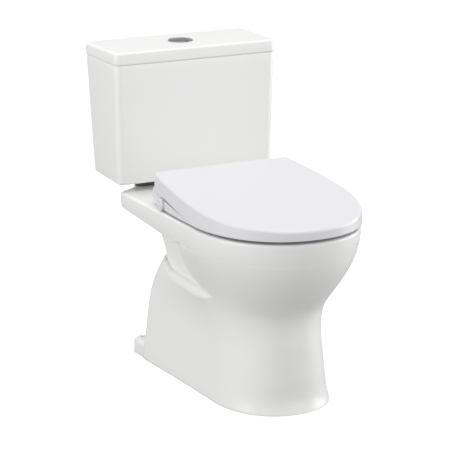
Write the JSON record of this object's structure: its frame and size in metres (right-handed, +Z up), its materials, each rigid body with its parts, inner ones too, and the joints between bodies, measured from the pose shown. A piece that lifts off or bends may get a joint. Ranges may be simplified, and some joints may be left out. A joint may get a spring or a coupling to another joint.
{
  "type": "two-piece bidet toilet",
  "caption": "Close-coupled floor-standing toilet with a separate tank, dual flush button and a water-only bidet seat with side control and lifting lid.",
  "frame": {"origin": "on the floor, under the middle of the object's footprint", "axes": "+Z up, -Y is the front of the bowl, +X is the right-hand side seen from the front"},
  "size_m": [0.412, 0.755, 0.7417],
  "materials": {
    "vitreous_china": "glossy white glaze",
    "black_rubber": "matt moulded",
    "grey_rubber": "matt moulded",
    "red_silicone": "matt moulded",
    "polished_chrome": "mirror plated",
    "spring_steel": "drawn wire",
    "stainless_steel": "turned",
    "brass": "turned",
    "white_abs": "moulded",
    "grey_abs": "moulded",
    "blue_abs": "moulded",
    "clear_tube": "soft tube",
    "seat_plastic": "satin gloss moulded",
    "nozzle_plastic": "satin moulded"
  },
  "bodies": {
    "bowl_and_tank": {"bowl": "vitreous_china", "cistern_tank": "vitreous_china", "outlet_gasket": "black_rubber", "tank_cushion": "black_rubber", "tank_bolt_washers": "black_rubber", "flush_valve_washer": "black_rubber", "fill_valve_washer": "black_rubber", "seat_fixing_bushes": "black_rubber", "full_flush_spring": "spring_steel", "half_flush_spring": "spring_steel", "flush_valve_base": "white_abs", "flush_valve_locknut": "white_abs", "flush_valve_cage": "white_abs", "tank_bolts": "brass", "tank_bolt_nuts": "brass", "fill_valve_body": "white_abs", "fill_valve_cap": "grey_abs", "fill_valve_locknut": "white_abs", "refill_tube": "clear_tube", "seat_mounting_plate": "grey_abs", "seat_fixing_bolts": "stainless_steel", "seat_fixing_nuts": "grey_abs", "bidet_base_cover": "seat_plastic", "bidet_base_bottom": "grey_abs", "hinge_pins": "stainless_steel", "control_arm": "seat_plastic", "diverter_valve": "grey_abs", "valve_feed_tube": "clear_tube", "supply_inlet": "brass", "inlet_strainer": "stainless_steel", "nozzle_holder": "grey_abs"},
    "tank_lid": {"tank_lid": "vitreous_china", "button_bezel": "polished_chrome"},
    "full_flush": {"full_flush_button": "polished_chrome", "full_flush_rod": "white_abs"},
    "half_flush": {"half_flush_button": "polished_chrome", "half_flush_rod": "white_abs"},
    "flush_valve_stem": {"flush_valve_stem": "blue_abs", "flush_valve_seal": "red_silicone"},
    "fill_valve_float": {"fill_valve_float": "blue_abs"},
    "seat": {"seat_ring": "seat_plastic", "seat_buffers": "grey_rubber"},
    "lid": {"seat_lid": "seat_plastic", "lid_buffers": "grey_rubber"},
    "control_knob": {"control_knob": "seat_plastic", "knob_shaft": "grey_abs"},
    "rear_wash_nozzle": {"rear_wash_nozzle": "nozzle_plastic"},
    "front_wash_nozzle": {"front_wash_nozzle": "nozzle_plastic"},
    "nozzle_guard": {"nozzle_guard": "seat_plastic"}
  },
  "joints": [
    {"name": "tank_lid_lift", "type": "slide", "parent": "bowl_and_tank", "child": "tank_lid", "axis": [0, 0, 1], "range_m": [0, 0.15]},
    {"name": "full_flush_press", "type": "slide", "parent": "tank_lid", "child": "full_flush", "axis": [0, 0, -1], "range_m": [0, 0.006], "stiffness_N_per_m": 250, "springref_m": -0.006, "deforming": ["full_flush_spring"]},
    {"name": "half_flush_press", "type": "slide", "parent": "tank_lid", "child": "half_flush", "axis": [0, 0, -1], "range_m": [0, 0.006], "stiffness_N_per_m": 250, "springref_m": -0.006, "deforming": ["half_flush_spring"]},
    {"name": "flush_stem_lift", "type": "slide", "parent": "bowl_and_tank", "child": "flush_valve_stem", "axis": [0, 0, 1], "range_m": [0, 0.018]},
    {"name": "float_rise", "type": "slide", "parent": "bowl_and_tank", "child": "fill_valve_float", "axis": [0, 0, 1], "range_m": [0, 0.028]},
    {"name": "seat_hinge", "type": "hinge", "parent": "bowl_and_tank", "child": "seat", "pos_m": [0, 0.0815, 0.438], "axis": [1, 0, 0], "range_deg": [-100, 0]},
    {"name": "lid_hinge", "type": "hinge", "parent": "seat", "child": "lid", "pos_m": [0, 0.0815, 0.438], "axis": [-1, 0, 0], "range_deg": [0, 102]},
    {"name": "knob_turn", "type": "hinge", "parent": "bowl_and_tank", "child": "control_knob", "pos_m": [-0.18, 0.0155, 0.4245], "axis": [-1, 0, 0], "range_deg": [-70, 70]},
    {"name": "rear_nozzle_slide", "type": "slide", "parent": "bowl_and_tank", "child": "rear_wash_nozzle", "axis": [0, -0.9848, -0.1736], "range_m": [0, 0.05], "stiffness_N_per_m": 20, "springref_m": -0.02},
    {"name": "front_nozzle_slide", "type": "slide", "parent": "bowl_and_tank", "child": "front_wash_nozzle", "axis": [0, -0.9848, -0.1736], "range_m": [0, 0.05], "stiffness_N_per_m": 20, "springref_m": -0.02},
    {"name": "nozzle_guard_hinge", "type": "hinge", "parent": "bowl_and_tank", "child": "nozzle_guard", "pos_m": [0, -0.0249, 0.4274], "axis": [-1, 0, 0], "range_deg": [0, 80]}
  ],
  "couplings": [
    {"joint": "flush_stem_lift", "follows": "full_flush_press", "ratio": 3}
  ]
}
